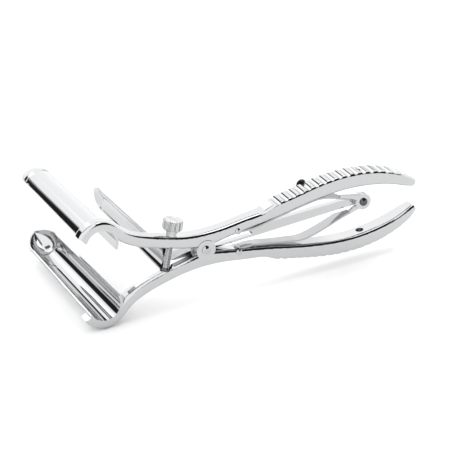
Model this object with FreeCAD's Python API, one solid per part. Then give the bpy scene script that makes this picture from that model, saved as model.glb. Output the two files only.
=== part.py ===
import FreeCAD, Part
import math
import os

# Three-blade rectal speculum, drawn in the pose of the picture: blades spread, handles nearly closed.
# Millimetres. The origin is on the pivot screw's axis in the middle plane of the levers.
# +X runs along the handles, +Y along the blades away from the user, +Z up in the plane of the levers.

Vec = FreeCAD.Vector

# How far each lever turns from the closed tube to this pose, and how far the third blade is drawn back.
half_opening = 14.5
bar_tilt = 2.5
draw_back = 26.5
running_fit = 0.06
side_gap = 0.1
swing_gap = 0.25

# The closed tube. Each outer blade is half of it, its centre blade_offset from the plane where they meet.
tube_axis_x = 58.2
tube_r_root = 9.4
tube_r_tip = 8.2
blade_offset = 2.3
blade_wall = 1.5
nose_start = 76.0
nose_length = 17.0
right_rim_gap = 0.15
left_rim_gap = 3.3
rim_round = 0.45

# The third blade lies outside the other two and further from the user's left.
third_blade_gap = 1.2
third_blade_shift = 0.9
third_blade_half_angle = 48.0
third_blade_root = 4.0

# Levers.
arm_width = 7.0
pivot_width = 8.0
grip_width = 10.0
hook_thickness = 4.6
hook_end_angle = 152.0
edge_round = 1.6
rib_count = 17
rib_first_x = 42.0
rib_last_x = 111.0
rib_tool_r = 1.7
rib_depth = 0.75
handle_screw_x = 89.0
handle_screw_r = 1.2
handle_screw_head_r = 2.1

# Pivot: the lower lever's ear is nearest the user, then the upper lever's tongue, then the draw bar.
boss_r = 5.2
ear_y = (-4.0, -1.85)
tongue_y = (-1.65, 0.15)
bar_y = (0.45, 3.45)
pin_r = 1.5
bar_height = 5.4
bar_end_x = 90.0
bar_front_x = -19.0
guide_y = (3.55, 4.9)
carrier_rivet_x = (-15.5, -9.0)
carrier_rivet_r = 0.9

# Leaf springs.
leaf_thickness = 0.9
leaf_width = 6.4
leaf_front_width = 5.3
leaf_eye_r = 1.9
leaf_pin_r = 0.9
leaf_pin_x = 18.0
leaf_pin_z = 5.9
rear_pin_r = 1.25
upper_lug_y = (-3.4, -1.6)
lower_lug_y = (-1.4, 0.25)
lug_r = 4.3
tang_gap = 0.08

# Thumb screw. Distances run along its axis from the point screw_at, up through the upper arm.
screw_lean = 12.3
screw_at = Vec(-18.9, -1.5, 5.8)
rod_r = 1.65
foot_r = 1.9
foot_at = -12.6
screw_travel = 12.4
foot_way_steps = 6
seat_at = 6.3
neck_length = 3.4
knob_r = 5.2
knob_height = 5.0
knurl_count = 30

Y_AXIS = Vec(0, 1, 0)
ORIGIN = Vec(0, 0, 0)


def rod_along_y(x, z, r, y0, y1):
    return Part.makeCylinder(r, y1 - y0, Vec(x, y0, z), Y_AXIS)


def block(x0, x1, y0, y1, z0, z1):
    return Part.makeBox(x1 - x0, y1 - y0, z1 - z0, Vec(x0, y0, z0))


def turned(shape, degrees):
    """The shape turned about the pivot; positive lifts its front end."""
    copy = shape.copy()
    copy.rotate(ORIGIN, Y_AXIS, degrees)
    return copy


def turned_point(x, z, degrees):
    a = math.radians(degrees)
    return x * math.cos(a) + z * math.sin(a), z * math.cos(a) - x * math.sin(a)


def mirrored(shape):
    return shape.mirror(ORIGIN, Vec(0, 0, 1))


def save(name, shape):
    shape = shape.removeSplitter()
    if len(shape.Solids) != 1 or not shape.isValid():
        print("look at", name, len(shape.Solids), shape.isValid())
    if len(shape.Solids) == 1:
        shape = shape.Solids[0]
    shape.exportStep("parts/" + name + ".step")


def rounded_section(x, z, angle, thickness, width, corner):
    """A rounded rectangle square to the lever's run at (x, z); angle is the run's slope."""
    a = math.radians(angle)
    up = Vec(-math.sin(a), 0, math.cos(a))
    centre = Vec(x, 0, z)
    h = thickness / 2
    w = width / 2
    c = min(corner, 0.45 * thickness, 0.45 * width)
    k = c * (1 - math.sqrt(0.5))

    def at(s, n):
        return centre + Y_AXIS * s + up * n

    edges = []
    for sy, sz in ((1, 1), (-1, 1), (-1, -1), (1, -1)):
        first = at(sy * w, sz * (h - c))
        middle = at(sy * (w - k), sz * (h - k))
        last = at(sy * (w - c), sz * h)
        if sy * sz < 0:
            first, last = last, first
        edges.append((first, middle, last))
    wire = []
    for i, (first, middle, last) in enumerate(edges):
        wire.append(Part.Arc(first, middle, last).toShape())
        wire.append(Part.makeLine(last, edges[(i + 1) % 4][0]))
    return Part.Wire(wire)


def blade_centre_open():
    """The upper blade's centre line, carried up with its lever to this pose."""
    return turned_point(-tube_axis_x, blade_offset, half_opening)


# Stations of the upper lever behind its hook: x, z, slope, thickness, width.
lever_stations = [
    (-44.6, 19.5, -45.0, 5.9, arm_width),
    (-39.6, 15.8, -30.0, 6.2, arm_width),
    (-33.0, 12.8, -20.0, 6.4, arm_width),
    (-24.0, 10.0, -16.0, 6.5, arm_width),
    (-12.0, 7.0, -11.0, 6.6, pivot_width),
    (0.0, 5.6, 0.0, 7.4, pivot_width),
    (13.0, 6.9, 7.5, 6.3, pivot_width),
    (26.0, 8.8, 9.0, 6.1, 8.2),
    (34.0, 10.1, 10.0, 6.1, 8.8),
    (38.5, 11.5, 12.5, 7.3, 9.3),
    (48.0, 13.6, 11.5, 7.5, grip_width),
    (60.0, 15.9, 9.5, 7.9, grip_width),
    (73.0, 17.6, 4.0, 8.2, grip_width),
    (86.0, 17.7, -4.5, 8.2, grip_width),
    (98.0, 16.0, -13.0, 7.8, grip_width),
    (108.5, 12.9, -23.0, 6.9, 9.6),
    (116.5, 9.1, -31.0, 5.6, 8.6),
    (120.2, 6.7, -35.0, 3.8, 7.0),
]


def hook_stations():
    cx, cz = blade_centre_open()
    r = tube_r_root - blade_wall + hook_thickness / 2
    found = []
    for angle in (hook_end_angle, 128.0, 104.0, 80.0, 56.0):
        a = math.radians(angle)
        found.append((cx + r * math.cos(a), cz + r * math.sin(a), angle - 90, hook_thickness, arm_width))
    return found


def lever_run():
    wires = [rounded_section(*station, edge_round) for station in hook_stations() + lever_stations]
    return Part.makeLoft(wires, True, False)


def outer_point(x):
    """A point on the grip's outer side, and the slope there."""
    pairs = zip(lever_stations, lever_stations[1:])
    (x0, z0, a0, t0, w0), (x1, z1, a1, t1, w1) = next(p for p in pairs if p[0][0] <= x <= p[1][0])
    f = (x - x0) / (x1 - x0)
    angle = math.radians(a0 + f * (a1 - a0))
    out = (t0 + f * (t1 - t0)) / 2
    return x - out * math.sin(angle), z0 + f * (z1 - z0) + out * math.cos(angle), angle


def rib_cutters():
    tools = []
    up = rib_tool_r - rib_depth
    for i in range(rib_count):
        x, z, angle = outer_point(rib_first_x + i * (rib_last_x - rib_first_x) / (rib_count - 1))
        tools.append(rod_along_y(x - up * math.sin(angle), z + up * math.cos(angle), rib_tool_r, -8, 8))
    return Part.makeCompound(tools)


def tube_outline(offset):
    """Half the tube's lengthwise section, offset outward from its outer surface."""
    root = Vec(tube_r_root + offset, -arm_width, 0)
    shoulder = Vec(tube_r_tip + offset, nose_start, 0)
    middle = Vec(0.8 * shoulder.x, nose_start + 0.6 * (nose_length + offset), 0)
    tip = Vec(0, nose_start + nose_length + offset, 0)
    heel = Vec(0, -arm_width, 0)
    nose = Part.Arc(shoulder, middle, tip).toShape()
    return Part.Face(Part.Wire([Part.makeLine(root, shoulder), nose, Part.makeLine(tip, heel), Part.makeLine(heel, root)]))


def tube_half(offset):
    """The upper half of the closed tube as a solid: half a bullet on straight sides."""
    near = tube_outline(offset)
    far = near.mirror(ORIGIN, Vec(1, 0, 0))
    sides = near.fuse(far).removeSplitter().Faces[0].extrude(Vec(0, 0, blade_offset))
    dome = near.revolve(ORIGIN, Y_AXIS * -1, 180)
    dome.translate(Vec(0, 0, blade_offset))
    return sides.fuse(dome)


def round_rims(shell, normal, distance):
    """Rounds the long edges of a trough that lie in its cutting plane."""
    rims = [e for e in shell.Edges if all(abs(v.Point.dot(normal) - distance) < 1e-4 for v in e.Vertexes)]
    return shell.makeFillet(rim_round, [e for e in rims if e.BoundBox.YLength > 1])


def upper_blade():
    """Half of the tube, its rim cut lower on the side of the levers' pivot, in the open pose."""
    shell = tube_half(0).cut(tube_half(-blade_wall))
    slope = math.atan2(left_rim_gap - right_rim_gap, 2 * tube_r_root)
    normal = Vec(math.sin(slope), 0, math.cos(slope))
    distance = (right_rim_gap + left_rim_gap) / 2 * normal.z
    keep = block(-30, 30, -arm_width / 2, 2 * nose_start, 0, 30)
    keep.rotate(ORIGIN, Y_AXIS, math.degrees(slope))
    keep.translate(normal * distance)
    shell = round_rims(shell.common(keep), normal, distance)
    shell.translate(Vec(-tube_axis_x, 0, 0))
    return turned(shell, half_opening)


def third_blade_axis():
    return draw_back - tube_axis_x + third_blade_shift


def third_blade_form(offset):
    """The round tube that the third blade is cut from; offset is from its inner surface."""
    made = tube_outline(third_blade_gap + offset).revolve(ORIGIN, Y_AXIS, 360)
    made.translate(Vec(third_blade_axis(), 0, 0))
    return made


def third_blade():
    chord = (tube_r_root + third_blade_gap + blade_wall) * math.cos(math.radians(third_blade_half_angle))
    chord += third_blade_axis()
    shell = third_blade_form(blade_wall).cut(third_blade_form(0))
    shell = shell.common(block(chord, chord + 30, third_blade_root, 2 * nose_start, -30, 30))
    return turned(round_rims(shell, Vec(1, 0, 0), chord), -bar_tilt)


def blade_seat():
    """What the upper blade takes out of its lever."""
    seat = tube_half(0)
    seat.translate(Vec(-tube_axis_x, 0, 0))
    return turned(seat, half_opening)


def screw_axis():
    a = math.radians(screw_lean)
    return Vec(math.sin(a), 0, math.cos(a))


def along_screw(r, start, end, r_end=None):
    base = screw_at + screw_axis() * start
    if r_end is None:
        return Part.makeCylinder(r, end - start, base, screw_axis())
    return Part.makeCone(r, r_end, end - start, base, screw_axis())


def meeting_plane():
    """What lies under the line on which the two arms meet when the blades are closed."""
    return turned(block(-70, 0, -20, 20, -40, 0.3), half_opening)


def bar_way(closing):
    """Room for the draw bar along the far half of a lever, blades spread and blades closed."""
    half = bar_height / 2 + 0.3
    near = tongue_y[1] + side_gap
    spread = turned(block(-12, 14, near, 5, -half, half), -bar_tilt)
    closed = turned(block(-52, -1, near, 5, -half, half), closing)
    return spread, closed


def foot_way():
    """The groove in the lower arm that the screw's foot runs along as the blades close."""
    ways = []
    for i in range(foot_way_steps + 1):
        share = i / foot_way_steps
        r = foot_r + (running_fit if i == 0 else swing_gap)
        low = foot_at + screw_travel * share
        base = screw_at + screw_axis() * low
        bore = Part.makeSphere(r, base).fuse(Part.makeCylinder(r, 9, base, screw_axis()))
        ways.append(turned(bore, -2 * half_opening * share))
    return ways


def leaf_slot():
    """Room in a lever for the spring's rolled eye and its run along the inner side."""
    half = leaf_front_width / 2 + 0.2
    eye = rod_along_y(leaf_pin_x, leaf_pin_z, leaf_eye_r + 0.2, -half, half)
    mouth = block(leaf_pin_x - 1.0, leaf_pin_x + 14, -half, half, 0, leaf_pin_z + 2 * swing_gap)
    return eye.fuse(mouth)


def plain_lever():
    """What both levers have in common, drawn as the upper one."""
    lever = lever_run().cut(meeting_plane()).cut(rib_cutters()).cut(blade_seat()).cut(leaf_slot())
    lever = lever.cut(rod_along_y(leaf_pin_x, leaf_pin_z, leaf_pin_r, -8, 8))
    screw_hole = Part.makeCylinder(handle_screw_r, 30, Vec(handle_screw_x, 0, 0), Vec(0, 0, 1))
    head_room = Part.makeCone(handle_screw_head_r, handle_screw_r, 1.4, handle_screw_foot(), handle_screw_up())
    below = Part.makeCylinder(handle_screw_head_r, 6, handle_screw_foot(), handle_screw_up() * -1)
    return lever.cut(screw_hole).cut(head_room).cut(below)


def handle_screw_up():
    return Vec(0, 0, 1)


def handle_screw_foot():
    return Vec(handle_screw_x, 0, 14.2)


def handle_screw():
    """A countersunk screw through the grip from its inner side, with a slotted head."""
    head = Part.makeCone(handle_screw_head_r, handle_screw_r, 1.4, handle_screw_foot(), handle_screw_up())
    shank = Part.makeCylinder(handle_screw_r, 6.7, handle_screw_foot(), handle_screw_up())
    slot = block(handle_screw_x - 3, handle_screw_x + 3, -0.3, 0.3, 13, 14.7)
    return head.fuse(shank).cut(slot)


def upper_lever():
    lever = plain_lever()
    lever = lever.cut(rod_along_y(0, 0, boss_r + swing_gap, -8, tongue_y[0] - side_gap))
    lever = lever.cut(rod_along_y(0, 0, boss_r + swing_gap, tongue_y[1] + side_gap, 8))
    lever = lever.fuse(rod_along_y(0, 0, boss_r, *tongue_y))
    lever = lever.cut(rod_along_y(0, 0, pin_r + running_fit, -8, 8))
    for way in bar_way(half_opening):
        lever = lever.cut(way)
    lever = lever.cut(along_screw(rod_r + running_fit, -6, 12)).cut(along_screw(foot_r + swing_gap, -6, 2.3))
    return lever.cut(along_screw(4.4, seat_at - 0.1, 14))


def lower_lever():
    lever = mirrored(plain_lever())
    lever = lever.cut(rod_along_y(0, 0, boss_r + swing_gap, ear_y[1] + side_gap, 8))
    lever = lever.fuse(rod_along_y(0, 0, boss_r, *ear_y))
    lever = lever.cut(rod_along_y(0, 0, pin_r + running_fit, -8, 8))
    for way in bar_way(-half_opening):
        lever = lever.cut(way)
    for way in foot_way():
        lever = lever.cut(way)
    return lever


def domed_head(x, z, r, y, height, toward):
    """A round head on a pin along Y, with its flat side at y."""
    rim = height * 0.4
    disc = Part.makeCylinder(r, rim, Vec(x, y, z), Y_AXIS * toward)
    dome_r = (r * r + (height - rim) ** 2) / (2 * (height - rim))
    ball = Part.makeSphere(dome_r, Vec(x, y + toward * (height - dome_r), z))
    reach = Part.makeCylinder(r, height + 1, Vec(x, y, z), Y_AXIS * toward)
    return disc.fuse(ball.common(reach))


def pivot_screw():
    shank = rod_along_y(0, 0, pin_r, ear_y[0], guide_y[1] + 1.6)
    return shank.fuse(domed_head(0, 0, 2.3, ear_y[0], 1.1, -1))


def pivot_nut():
    nut = domed_head(0, 0, 2.8, guide_y[1] + side_gap, 1.7, 1)
    return nut.cut(rod_along_y(0, 0, pin_r, 0, 9))


def bar_guide():
    """A keeper on the pivot screw that holds the bar between two lips and turns with it."""
    half = bar_height / 2
    plate = block(-2.9, 2.9, guide_y[0], guide_y[1], -half - 1.1, half + 1.1)
    lips = block(-2.9, 2.9, 0.75, guide_y[0], half + 0.1, half + 1.1)
    lips = lips.fuse(block(-2.9, 2.9, 0.75, guide_y[0], -half - 1.1, -half - 0.1))
    keeper = plate.fuse(lips).cut(rod_along_y(0, 0, pin_r + running_fit, 0, 9))
    return turned(keeper, -bar_tilt)


def draw_bar():
    """A flat bar with a long slot for the pivot screw and an eye at its rear end."""
    half = bar_height / 2
    y0, y1 = bar_y
    outline = [
        (bar_front_x, -1.9),
        (bar_front_x, 1.9),
        (bar_front_x + 4, half),
        (draw_back + 6, half),
        (bar_end_x - 8, 2.1),
        (bar_end_x, 2.1),
        (bar_end_x, -2.1),
        (bar_end_x - 8, -2.1),
        (draw_back + 6, -half),
        (bar_front_x + 4, -half),
    ]
    points = [Vec(x, y0, z) for x, z in outline]
    bar = Part.Face(Part.makePolygon(points + points[:1])).extrude(Vec(0, y1 - y0, 0))
    bar = bar.fuse(rod_along_y(bar_end_x, 0, 3.0, y0, y1))
    slot_r = pin_r + running_fit
    slot = block(0, draw_back, 0, 9, -slot_r, slot_r)
    slot = slot.fuse(rod_along_y(0, 0, slot_r, 0, 9)).fuse(rod_along_y(draw_back, 0, slot_r, 0, 9))
    bar = bar.cut(slot).cut(rod_along_y(bar_end_x, 0, rear_pin_r, 0, 9))
    for x in carrier_rivet_x:
        bar = bar.cut(rod_along_y(x, 0, carrier_rivet_r, 0, 9))
    return turned(bar, -bar_tilt)


def blade_carrier():
    """The saddle on the third blade's back, with a web and a pad riveted to the bar."""
    axis_x = third_blade_axis()
    outside = tube_r_root + third_blade_gap + blade_wall
    back_x = axis_x + outside + 0.8
    y_pad = bar_y[1]
    y_out = y_pad + 1.4
    outer = Part.makeCylinder(outside + 1.5, 14, Vec(axis_x, third_blade_root, 0), Y_AXIS)
    window = block(axis_x + 8, axis_x + 20, 0, 30, -4.2, 4.2)
    saddle = outer.cut(third_blade_form(blade_wall)).common(window)
    corners = [Vec(back_x, y_pad, -1.1), Vec(-7.0, y_pad, -1.1), Vec(-7.0, y_out, -1.1), Vec(back_x, 17.5, -1.1)]
    web = Part.Face(Part.makePolygon(corners + corners[:1])).extrude(Vec(0, 0, 2.2))
    pad = block(back_x, -6.0, y_pad, y_out, -2.4, 2.4)
    carrier = saddle.fuse(web).fuse(pad)
    for x in carrier_rivet_x:
        carrier = carrier.cut(rod_along_y(x, 0, carrier_rivet_r, 0, y_out))
        carrier = carrier.cut(rod_along_y(x, 0, 1.7, y_out, 19))
    return turned(carrier, -bar_tilt)


def carrier_rivets():
    made = []
    for x in carrier_rivet_x:
        shank = rod_along_y(x, 0, carrier_rivet_r, bar_y[0], bar_y[1] + 1.4)
        made.append(turned(shank.fuse(domed_head(x, 0, 1.6, bar_y[1] + 1.4, 0.8, 1)), -bar_tilt))
    return made


def rear_hinge_at():
    return turned_point(bar_end_x, 0.0, -bar_tilt)


def rear_hinge_pin():
    x, z = rear_hinge_at()
    near = upper_lug_y[0] - side_gap
    far = bar_y[1] + side_gap
    pin = rod_along_y(x, z, rear_pin_r, near, far)
    return pin.fuse(domed_head(x, z, 2.1, near, 1.0, -1)).fuse(domed_head(x, z, 2.1, far, 1.0, 1))


def leaf_path_upper():
    """Where the upper spring's middle line runs, from its front eye to the rear knuckle."""
    return [(20.0, 4.7), (27.0, 4.5), (36.0, 6.2), (48.0, 8.9), (58.0, 10.9), (66.5, 11.6), (74.0, 9.9), (82.5, 7.0)]


def leaf_path_lower():
    return [(20.0, -4.7), (27.0, -4.6), (36.0, -6.1), (48.0, -8.0), (55.0, -8.6), (60.0, -7.7), (72.0, -3.8), (82.0, -0.3)]


def leaf(points, eye_z, lug_y):
    """A strip that follows the points, with a rolled eye in front and a slanted rear end beside its lug."""
    curve = Part.BSplineCurve()
    curve.interpolate([Vec(x, 0, z) for x, z in points])
    half = leaf_thickness / 2
    stations = 24
    top = []
    bottom = []
    for i in range(stations + 1):
        u = curve.FirstParameter + (curve.LastParameter - curve.FirstParameter) * i / stations
        p = curve.value(u)
        t = curve.tangent(u)[0]
        n = Vec(-t.z, 0, t.x)
        top.append(p + n * half)
        bottom.append(p - n * half)
    upper_line = Part.BSplineCurve()
    upper_line.interpolate(top)
    lower_line = Part.BSplineCurve()
    lower_line.interpolate(bottom)
    ends = [Part.makeLine(top[-1], bottom[-1]), Part.makeLine(bottom[0], top[0])]
    face = Part.Face(Part.Wire([upper_line.toShape(), ends[0], lower_line.toShape(), ends[1]]))
    face.translate(Vec(0, -leaf_width / 2, 0))
    strip = face.extrude(Vec(0, leaf_width, 0))
    wide = leaf_width / 2
    narrow = leaf_front_width / 2
    plan = [
        Vec(10, -narrow, -40), Vec(34, -narrow, -40), Vec(60, -wide, -40), Vec(120, -wide, -40),
        Vec(120, lug_y[1], -40), Vec(81, lug_y[1], -40), Vec(76, wide, -40), Vec(60, wide, -40),
        Vec(34, narrow, -40), Vec(10, narrow, -40),
    ]
    strip = strip.common(Part.Face(Part.makePolygon(plan + plan[:1])).extrude(Vec(0, 0, 80)))
    eye = rod_along_y(leaf_pin_x, eye_z, leaf_eye_r, -narrow, narrow)
    neck = block(leaf_pin_x, 20.6, -narrow, narrow, min(points[0][1], eye_z) - 0.3, max(points[0][1], eye_z) + 0.3)
    return strip.fuse(eye).fuse(neck).cut(rod_along_y(leaf_pin_x, eye_z, leaf_pin_r + running_fit, -8, 8))


def knuckle(points, lug_y, outward):
    """The lug on the rear pin, with a tang lying on the outer side of the spring's end."""
    x, z = rear_hinge_at()
    ex, ez = points[-1]
    px, pz = points[-2]
    run = Vec(ex - px, 0, ez - pz)
    run.normalize()
    off = Vec(-run.z, 0, run.x) * outward
    inner = leaf_thickness / 2 + tang_gap
    start = Vec(ex, 0, ez) - run * 6.5
    base = [start + off * inner, start + off * (inner + 1.0), Vec(x, 0, z) + off * lug_r * 0.9, Vec(x, 0, z) + off * 0.2]
    base.append(Vec(ex, 0, ez) + run * 0.05 + off * inner)
    points_3d = [Vec(p.x, lug_y[0], p.z) for p in base]
    tang = Part.Face(Part.makePolygon(points_3d + points_3d[:1])).extrude(Vec(0, lug_y[1] - lug_y[0], 0))
    lug = rod_along_y(x, z, lug_r, *lug_y)
    return lug.fuse(tang).cut(rod_along_y(x, z, rear_pin_r + running_fit, -8, 8))


def leaf_pin(sign):
    """The pin through a lever that holds its spring's front eye."""
    z = sign * leaf_pin_z
    pin = rod_along_y(leaf_pin_x, z, leaf_pin_r, -pivot_width / 2, pivot_width / 2)
    return pin.fuse(domed_head(leaf_pin_x, z, 1.6, -pivot_width / 2, 0.8, -1))


def screw_foot():
    """The ball that bears in the lower arm's cup; the rod turns in it."""
    ball = Part.makeSphere(foot_r, screw_at + screw_axis() * foot_at)
    ball = ball.cut(along_screw(foot_r, foot_at + 1.5, foot_at + 3))
    return ball.cut(along_screw(1.0 + running_fit, foot_at - 0.4, foot_at + 4))


def screw_rod():
    thread = along_screw(rod_r, foot_at + 1.6, seat_at + neck_length)
    return thread.fuse(along_screw(1.0, foot_at - 0.3, foot_at + 2))


def thumb_knob():
    """A knurled knob on a neck that tapers to its seat on the upper arm."""
    top = seat_at + neck_length + knob_height
    under = seat_at + neck_length
    neck = along_screw(2.5, seat_at, seat_at + 0.8).fuse(along_screw(2.5, seat_at + 0.8, under, 3.6))
    lower_edge = along_screw(knob_r - 0.5, under, under + 0.5, knob_r)
    body = along_screw(knob_r, under + 0.5, top - 0.5)
    upper_edge = along_screw(knob_r, top - 0.5, top, knob_r - 0.5)
    knob = neck.fuse(lower_edge).fuse(body).fuse(upper_edge)
    centre = screw_at + screw_axis() * under
    tools = []
    for i in range(knurl_count):
        tool = Part.makeCylinder(0.36, knob_height + 1, centre + Y_AXIS * (knob_r + 0.1) - screw_axis() * 0.5, screw_axis())
        tool.rotate(centre, screw_axis(), 360.0 * i / knurl_count)
        tools.append(tool)
    return knob.cut(Part.makeCompound(tools)).cut(along_screw(rod_r, seat_at - 1, seat_at + neck_length))


def side_stud():
    """A round-headed stud on the far side of the upper grip."""
    shank = rod_along_y(59.0, 18.0, 1.2, 2.0, grip_width / 2)
    return shank.fuse(domed_head(59.0, 18.0, 2.7, grip_width / 2, 2.2, 1))


def main():
    os.makedirs("parts", exist_ok=True)
    stud = side_stud()
    save("upper_lever", upper_lever().cut(stud))
    save("lower_lever", lower_lever())
    save("upper_blade", upper_blade())
    save("lower_blade", mirrored(upper_blade()))
    save("third_blade", third_blade())
    save("pivot_screw", pivot_screw())
    save("pivot_nut", pivot_nut())
    save("bar_guide", bar_guide())
    save("draw_bar", draw_bar())
    save("blade_carrier", blade_carrier())
    front, rear = carrier_rivets()
    save("carrier_rivet_front", front)
    save("carrier_rivet_rear", rear)
    save("rear_hinge_pin", rear_hinge_pin())
    save("upper_leaf_spring", leaf(leaf_path_upper(), leaf_pin_z, upper_lug_y))
    save("lower_leaf_spring", leaf(leaf_path_lower(), -leaf_pin_z, lower_lug_y))
    save("upper_knuckle", knuckle(leaf_path_upper(), upper_lug_y, 1))
    save("lower_knuckle", knuckle(leaf_path_lower(), lower_lug_y, -1))
    save("upper_leaf_pin", leaf_pin(1))
    save("lower_leaf_pin", leaf_pin(-1))
    save("upper_handle_screw", handle_screw())
    save("lower_handle_screw", mirrored(handle_screw()))
    save("screw_foot", screw_foot())
    save("screw_rod", screw_rod())
    save("thumb_knob", thumb_knob())
    save("side_stud", stud)


main()
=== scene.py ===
import math

import bmesh
import bpy
from mathutils import Matrix, Vector


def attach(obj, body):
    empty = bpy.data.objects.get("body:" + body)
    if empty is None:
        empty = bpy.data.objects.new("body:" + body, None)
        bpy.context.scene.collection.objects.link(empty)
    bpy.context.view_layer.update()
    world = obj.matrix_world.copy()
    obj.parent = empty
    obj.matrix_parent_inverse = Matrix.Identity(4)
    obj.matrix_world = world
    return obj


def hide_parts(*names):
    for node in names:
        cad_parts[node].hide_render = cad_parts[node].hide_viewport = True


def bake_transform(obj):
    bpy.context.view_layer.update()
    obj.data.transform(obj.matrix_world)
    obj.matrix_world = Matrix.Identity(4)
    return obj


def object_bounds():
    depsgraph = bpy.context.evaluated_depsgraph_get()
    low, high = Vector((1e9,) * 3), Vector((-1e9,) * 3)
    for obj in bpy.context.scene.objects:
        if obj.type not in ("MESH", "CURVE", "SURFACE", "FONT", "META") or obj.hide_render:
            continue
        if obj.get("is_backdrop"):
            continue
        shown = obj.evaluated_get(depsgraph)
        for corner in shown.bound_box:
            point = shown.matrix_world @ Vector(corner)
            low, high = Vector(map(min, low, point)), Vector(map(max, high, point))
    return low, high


# The camera, fitted to the photograph: where it stands, which way it looks and how it is rolled.
CAMERA_PLACE = Vector((-0.43552, -0.9801, 0.54514))
CAMERA_AIM = Vector((0.37269, 0.81390, -0.44573))
CAMERA_RIGHT = Vector((0.89877, -0.43612, -0.04486))
CAMERA_LENS = 191.15
SENSOR_WIDTH = 36.0
NEAREST_SHOWN = 0.05
FARTHEST_SHOWN = 50.0

# The studio is a white tent of this strength over a sheet of white paper.
STUDIO_TONE = 1.62
FLOOR_TONE = 0.97
FLOOR_SIZE = 12.0
FLOOR_GAP = 0.0005
FLOOR_ROUGHNESS = 0.9
FIBRE_SCALE = 400.0
FIBRE_STRENGTH = 0.05
FIBRE_DEPTH = 0.0001

# Dark strips of the studio that the polished steel mirrors. Each runs from one place to another,
# given as degrees round from the blades' direction and degrees above the floor,
# and has a half width in degrees and a strength.
DARK_STRIPS = (
    ((156, -8), (138, 44), 23.0, 0.985),
    ((58, 60), (20, 52), 5.0, 0.92),
    ((-35, -6), (-33, 15), 7.0, 0.985),
    ((-45, 42), (-30, 58), 8.0, 0.90),
    ((38, -10), (36, 30), 3.0, 0.45),
)
# The long soft light overhead and a short one behind the object, given the same way.
# Their strength adds to the tent's.
LIGHT_STRIPS = (
    ((122, 72), (62, 70), 9.0, 1.5),
    ((-8, 36), (-30, 34), 5.0, 0.6),
)
# Half the width of a strip's soft edge, in degrees.
STRIP_EDGE = 2.5

# Wiping marks: a cloudy pattern that makes the polished steel's gloss up to half as rough again.
WIPE_SCALE = 55.0
WIPE_DETAIL = 5.0
WIPE_ROUGHNESS = 0.55
WIPE_RANGE = (0.35, 0.70)
WIPE_SMEAR = 0.5

# The fine grain of the metal, drawn by its surface relief.
GRAIN_SCALE = 900.0
GRAIN_DETAIL = 3.0
GRAIN_DEPTH = 0.00002

# The thumb screw's thread, and the fine lines between the grooves of its knob.
KNOB_PLACE = (-0.0163, -0.0015, 0.01629)
KNOB_AXIS = (0.2130, 0, 0.9770)
THREAD_PITCH = 0.0008
THREAD_DEPTH = 0.00012
KNURL_LINES = 44
KNURL_RADIUS = 0.0048
KNURL_DEPTH = 0.0001
KNURL_STRENGTH = 0.6
# The knurl's painted shade: where the wave passes this level, the groove's colour is darkened to this
# share.
GROOVE_LEVEL = 0.25
GROOVE_PAINTED_SHADE = 0.45

# How a CAD mesh is refined: points nearer than this merge, edges flatter than this angle go,
# and faces with more corners than this are cut into triangles.
MERGE_DISTANCE = 1e-7
FLAT_ANGLE = 0.2
MOST_CORNERS = 4

# The leaf springs: where rings of points run across them, over a stretch of each strip.
SPRING_RINGS = 24
FIRST_RING = 0.024
RING_GAP = 0.0024
SPRING_SHARP_ANGLE = 35

# The outer blades: where rings of points run across them, closer together towards the nose.
BLADE_RINGS = (0.064, 0.068, 0.071, 0.0735, 0.0752, 0.0775, 0.080)
BLADE_SHARP_ANGLE = 30


def write_size(lowest, highest, name, store):
    store[name] = [list(lowest), list(highest)]


def new_material(name):
    material = bpy.data.materials.new(name)
    material.use_nodes = True
    nodes = material.node_tree.nodes
    nodes.clear()
    output = nodes.new("ShaderNodeOutputMaterial")
    shader = nodes.new("ShaderNodeBsdfPrincipled")
    links = material.node_tree.links
    links.new(shader.outputs["BSDF"], output.inputs["Surface"])
    return material, nodes, links, shader


def maths(nodes, links, operation, first, second=0.0):
    """A maths node whose inputs are sockets or plain numbers; gives its output socket."""
    node = nodes.new("ShaderNodeMath")
    node.operation = operation
    for socket, value in zip(node.inputs, (first, second)):
        if isinstance(value, (int, float)):
            socket.default_value = value
        else:
            links.new(value, socket)
    return node.outputs["Value"]


def share_along(nodes, links, vector, direction):
    """How far a vector socket reaches along a given direction, as an output socket."""
    product = nodes.new("ShaderNodeVectorMath")
    product.operation = "DOT_PRODUCT"
    product.inputs[1].default_value = tuple(direction)
    links.new(vector, product.inputs[0])
    return product.outputs["Value"]


def relief(nodes, links, shader, height, strength, depth):
    """Small bumps on a surface, as high as a socket says."""
    bump = nodes.new("ShaderNodeBump")
    bump.inputs["Strength"].default_value = strength
    bump.inputs["Distance"].default_value = depth
    links.new(height, bump.inputs["Height"])
    links.new(bump.outputs["Normal"], shader.inputs["Normal"])


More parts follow.
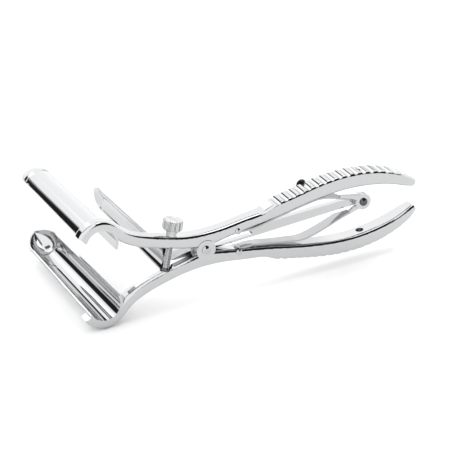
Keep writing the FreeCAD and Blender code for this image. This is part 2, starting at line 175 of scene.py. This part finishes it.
def polished(name, colour, roughness, grain=0.0, stretch=(1, 1, 1)):
    """Metal with faint wiping marks in its gloss and, where asked, a fine directional grain."""
    material, nodes, links, shader = new_material(name)
    shader.inputs["Base Color"].default_value = (*colour, 1.0)
    shader.inputs["Metallic"].default_value = 1.0
    place = nodes.new("ShaderNodeTexCoord")
    cloud = nodes.new("ShaderNodeTexNoise")
    cloud.inputs["Scale"].default_value = WIPE_SCALE
    cloud.inputs["Detail"].default_value = WIPE_DETAIL
    cloud.inputs["Roughness"].default_value = WIPE_ROUGHNESS
    links.new(place.outputs["Object"], cloud.inputs["Vector"])
    gloss = nodes.new("ShaderNodeMapRange")
    gloss.inputs["From Min"].default_value = WIPE_RANGE[0]
    gloss.inputs["From Max"].default_value = WIPE_RANGE[1]
    gloss.inputs["To Min"].default_value = roughness
    gloss.inputs["To Max"].default_value = roughness * (1 + WIPE_SMEAR)
    links.new(cloud.outputs["Fac"], gloss.inputs["Value"])
    links.new(gloss.outputs["Result"], shader.inputs["Roughness"])
    if grain > 0:
        mapping = nodes.new("ShaderNodeMapping")
        mapping.inputs["Scale"].default_value = stretch
        links.new(place.outputs["Object"], mapping.inputs["Vector"])
        lines = nodes.new("ShaderNodeTexNoise")
        lines.inputs["Scale"].default_value = GRAIN_SCALE
        lines.inputs["Detail"].default_value = GRAIN_DETAIL
        links.new(mapping.outputs["Vector"], lines.inputs["Vector"])
        relief(nodes, links, shader, lines.outputs["Fac"], grain, GRAIN_DEPTH)
    return material


def threaded(name, colour, roughness, axis, pitch):
    """Steel with a screw thread drawn by its surface relief, as ridges across the axis."""
    material, nodes, links, shader = new_material(name)
    shader.inputs["Base Color"].default_value = (*colour, 1.0)
    shader.inputs["Metallic"].default_value = 1.0
    shader.inputs["Roughness"].default_value = roughness
    place = nodes.new("ShaderNodeTexCoord")
    along = share_along(nodes, links, place.outputs["Object"], axis)
    wave = maths(nodes, links, "SINE", maths(nodes, links, "MULTIPLY", along, 2 * math.pi / pitch))
    relief(nodes, links, shader, wave, 1.0, THREAD_DEPTH)
    return material


def knurled(name, colour, roughness, centre, axis):
    """Steel with straight knurling: fine grooves along a round knob's side, with painted shade in
    their depth.
    """
    material, nodes, links, shader = new_material(name)
    shader.inputs["Metallic"].default_value = 1.0
    shader.inputs["Roughness"].default_value = roughness
    axis = Vector(axis).normalized()
    first = axis.orthogonal().normalized()
    second = axis.cross(first)
    place = nodes.new("ShaderNodeTexCoord")
    offset = nodes.new("ShaderNodeVectorMath")
    offset.operation = "SUBTRACT"
    offset.inputs[1].default_value = tuple(centre)
    links.new(place.outputs["Object"], offset.inputs[0])
    sides = [share_along(nodes, links, offset.outputs["Vector"], side) for side in (first, second)]
    turn = maths(nodes, links, "ARCTAN2", sides[1], sides[0])
    wave = maths(nodes, links, "SINE", maths(nodes, links, "MULTIPLY", turn, float(KNURL_LINES)))
    squares = [maths(nodes, links, "MULTIPLY", value, value) for value in sides]
    radius = maths(nodes, links, "SQRT", maths(nodes, links, "ADD", *squares))
    outside = maths(nodes, links, "GREATER_THAN", radius, KNURL_RADIUS)
    deep = maths(nodes, links, "GREATER_THAN", wave, GROOVE_LEVEL)
    # Painted shade: the grooves on the knob's side are darkened in colour.
    painted_groove_shade = maths(nodes, links, "MULTIPLY", outside, deep)
    tone = nodes.new("ShaderNodeMix")
    tone.data_type = "RGBA"
    tone.inputs["A"].default_value = (*colour, 1.0)
    tone.inputs["B"].default_value = (*(GROOVE_PAINTED_SHADE * part for part in colour), 1.0)
    links.new(painted_groove_shade, tone.inputs["Factor"])
    links.new(tone.outputs["Result"], shader.inputs["Base Color"])
    relief(nodes, links, shader, wave, KNURL_STRENGTH, KNURL_DEPTH)
    return material


def dress(obj, material):
    obj.data.materials.clear()
    obj.data.materials.append(material)


def refined_copy(node, along, places, sharp_angle, material):
    """A copy of a CAD node's mesh with extra rings of points across it and evenly smoothed faces."""
    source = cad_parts[node]
    mesh = source.data.copy()
    work = bmesh.new()
    work.from_mesh(mesh)
    bmesh.ops.remove_doubles(work, verts=work.verts, dist=MERGE_DISTANCE)
    flat = math.radians(FLAT_ANGLE)
    bmesh.ops.dissolve_limit(work, angle_limit=flat, verts=work.verts, edges=work.edges)
    for place in places:
        parts = work.verts[:] + work.edges[:] + work.faces[:]
        bmesh.ops.bisect_plane(work, geom=parts, plane_co=Vector(along) * place, plane_no=along)
    large = [face for face in work.faces if len(face.verts) > MOST_CORNERS]
    bmesh.ops.triangulate(work, faces=large)
    work.to_mesh(mesh)
    work.free()
    mesh.update()
    if mesh.attributes.get("custom_normal"):
        mesh.attributes.remove(mesh.attributes["custom_normal"])
    piece = bpy.data.objects.new(node + "_surface", mesh)
    piece.matrix_world = source.matrix_world.copy()
    bpy.context.scene.collection.objects.link(piece)
    for polygon in mesh.polygons:
        polygon.use_smooth = True
    mesh.set_sharp_from_angle(angle=math.radians(sharp_angle))
    even = piece.modifiers.new("even_shading", "WEIGHTED_NORMAL")
    even.keep_sharp = True
    dress(piece, material)
    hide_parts(node)
    return piece


def bending_leaf(node, material):
    """The spring strip as one smooth-shaded piece with rings of points across it, its placing baked
    into its mesh.
    """
    places = [FIRST_RING + step * RING_GAP for step in range(SPRING_RINGS)]
    piece = refined_copy(node, (1, 0, 0), places, SPRING_SHARP_ANGLE, material)
    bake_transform(piece)


def smooth_blade(node, material):
    """An outer blade whose straight part runs into its rounded nose without a crease."""
    piece = refined_copy(node, (0, 1, 0), BLADE_RINGS, BLADE_SHARP_ANGLE, material)
    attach(piece, node.replace("blade", "lever"))


def sky_direction(turn, height):
    """The direction that lies so many degrees round and so many degrees up."""
    turn = math.radians(turn)
    height = math.radians(height)
    level = math.cos(height)
    return Vector((math.sin(turn) * level, math.cos(turn) * level, math.sin(height)))


def fade(nodes, links, value, start, end):
    """A soft step from nothing at the start to one at the end."""
    ramp = nodes.new("ShaderNodeMapRange")
    ramp.interpolation_type = "SMOOTHSTEP"
    ramp.inputs["From Min"].default_value = start
    ramp.inputs["From Max"].default_value = end
    links.new(value, ramp.inputs["Value"])
    return ramp.outputs["Result"]


def strip_shape(nodes, links, view, begin, finish, half_width, strength):
    """A soft-edged strip of sky between two places: its strength inside, and nothing outside."""
    first = sky_direction(*begin)
    last = sky_direction(*finish)
    across = share_along(nodes, links, view, first.cross(last).normalized())
    aside = maths(nodes, links, "ABSOLUTE", across)
    along = share_along(nodes, links, view, (first + last).normalized())
    half_length = math.degrees(first.angle(last)) / 2 + half_width
    inner, outer = (math.radians(half_width + edge) for edge in (-STRIP_EDGE, STRIP_EDGE))
    wide = fade(nodes, links, aside, math.sin(outer), math.sin(inner))
    inner, outer = (math.radians(half_length + edge) for edge in (-STRIP_EDGE, STRIP_EDGE))
    long = fade(nodes, links, along, math.cos(outer), math.cos(inner))
    return maths(nodes, links, "MULTIPLY", maths(nodes, links, "MULTIPLY", wide, long), strength)


def studio_world():
    """An even white tent with dark strips, as round a small product on white paper."""
    world = bpy.data.worlds.new("studio")
    bpy.context.scene.world = world
    world.use_nodes = True
    nodes = world.node_tree.nodes
    links = world.node_tree.links
    nodes.clear()
    output = nodes.new("ShaderNodeOutputWorld")
    background = nodes.new("ShaderNodeBackground")
    links.new(background.outputs["Background"], output.inputs["Surface"])
    view = nodes.new("ShaderNodeTexCoord").outputs["Generated"]
    level = STUDIO_TONE
    for begin, finish, half_width, strength in DARK_STRIPS:
        dark = strip_shape(nodes, links, view, begin, finish, half_width, strength)
        left = maths(nodes, links, "SUBTRACT", 1.0, dark)
        level = maths(nodes, links, "MULTIPLY", level, left)
    for begin, finish, half_width, strength in LIGHT_STRIPS:
        glow = strip_shape(nodes, links, view, begin, finish, half_width, strength)
        level = maths(nodes, links, "ADD", level, glow)
    background.inputs["Color"].default_value = (1.0, 1.0, 1.0, 1.0)
    links.new(level, background.inputs["Strength"])


def floor():
    """A large sheet of white paper just under the object."""
    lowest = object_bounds()[0].z
    bpy.ops.mesh.primitive_plane_add(size=FLOOR_SIZE, location=(0, 0, lowest - FLOOR_GAP))
    sheet = bpy.context.object
    sheet.name = "floor"
    material, nodes, links, shader = new_material("floor_paper")
    shader.inputs["Base Color"].default_value = (FLOOR_TONE, FLOOR_TONE, FLOOR_TONE, 1.0)
    shader.inputs["Roughness"].default_value = FLOOR_ROUGHNESS
    place = nodes.new("ShaderNodeTexCoord")
    fibre = nodes.new("ShaderNodeTexNoise")
    fibre.inputs["Scale"].default_value = FIBRE_SCALE
    links.new(place.outputs["Object"], fibre.inputs["Vector"])
    relief(nodes, links, shader, fibre.outputs["Fac"], FIBRE_STRENGTH, FIBRE_DEPTH)
    dress(sheet, material)
    sheet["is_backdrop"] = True


def camera():
    data = bpy.data.cameras.new("camera")
    data.lens = CAMERA_LENS
    data.sensor_width = SENSOR_WIDTH
    data.clip_start = NEAREST_SHOWN
    data.clip_end = FARTHEST_SHOWN
    holder = bpy.data.objects.new("camera", data)
    bpy.context.scene.collection.objects.link(holder)
    right = CAMERA_RIGHT.normalized()
    back = -CAMERA_AIM.normalized()
    up = back.cross(right).normalized()
    right = up.cross(back)
    turn = Matrix((right, up, back)).transposed()
    holder.matrix_world = Matrix.Translation(CAMERA_PLACE) @ turn.to_4x4()
    bpy.context.scene.camera = holder


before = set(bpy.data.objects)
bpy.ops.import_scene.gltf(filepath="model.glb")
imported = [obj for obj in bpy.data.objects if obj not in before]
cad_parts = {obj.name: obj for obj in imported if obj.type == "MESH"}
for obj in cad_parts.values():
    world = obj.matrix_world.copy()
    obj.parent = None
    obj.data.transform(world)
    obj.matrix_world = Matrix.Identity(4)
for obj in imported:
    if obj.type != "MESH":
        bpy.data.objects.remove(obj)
sizes = {}
write_size(*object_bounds(), "cad", sizes)

steel = polished("polished_steel", (0.51, 0.514, 0.52), 0.03, grain=0.01)
satin = knurled("knurled_steel", (0.60, 0.605, 0.61), 0.22, KNOB_PLACE, KNOB_AXIS)
# A near-black copy of the polished steel: painted shade and painted dark reflection for the blade
# carrier, the bar guide, the screw foot and the rear hinge pin.
painted_shade = polished("painted_shade_steel", (0.10, 0.101, 0.103), 0.06)
# Near-black steel for the handle screws and the side stud.
near_black = polished("near_black_steel", (0.06, 0.061, 0.062), 0.12)
# Spring steel for the leaf strips, darker than the levers' steel; the extra darkness is painted shade
# for their shaded faces.
strip = polished("spring_steel", (0.38, 0.384, 0.39), 0.08, grain=0.02, stretch=(0.1, 1, 1))
bright = polished("fastener_steel", (0.46, 0.464, 0.47), 0.06)
rod = threaded("screw_thread", (0.44, 0.445, 0.45), 0.12, KNOB_AXIS, THREAD_PITCH)

# Every node is fastener steel, unless it is named here.
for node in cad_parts.values():
    dress(node, bright)
for material, names in (
    (steel, ("upper_lever", "lower_lever", "upper_blade", "lower_blade", "third_blade")),
    (steel, ("draw_bar", "upper_knuckle", "lower_knuckle")),
    (satin, ("thumb_knob",)),
    (rod, ("screw_rod",)),
    (painted_shade, ("blade_carrier", "bar_guide", "screw_foot", "rear_hinge_pin")),
    (near_black, ("upper_handle_screw", "lower_handle_screw", "side_stud")),
):
    for name in names:
        dress(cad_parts[name], material)

bending_leaf("upper_leaf_spring", strip)
bending_leaf("lower_leaf_spring", strip)

smooth_blade("upper_blade", steel)
smooth_blade("lower_blade", steel)

studio_world()
floor()
camera()
bpy.context.scene.view_settings.view_transform = "Standard"

write_size(*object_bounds(), "shown", sizes)
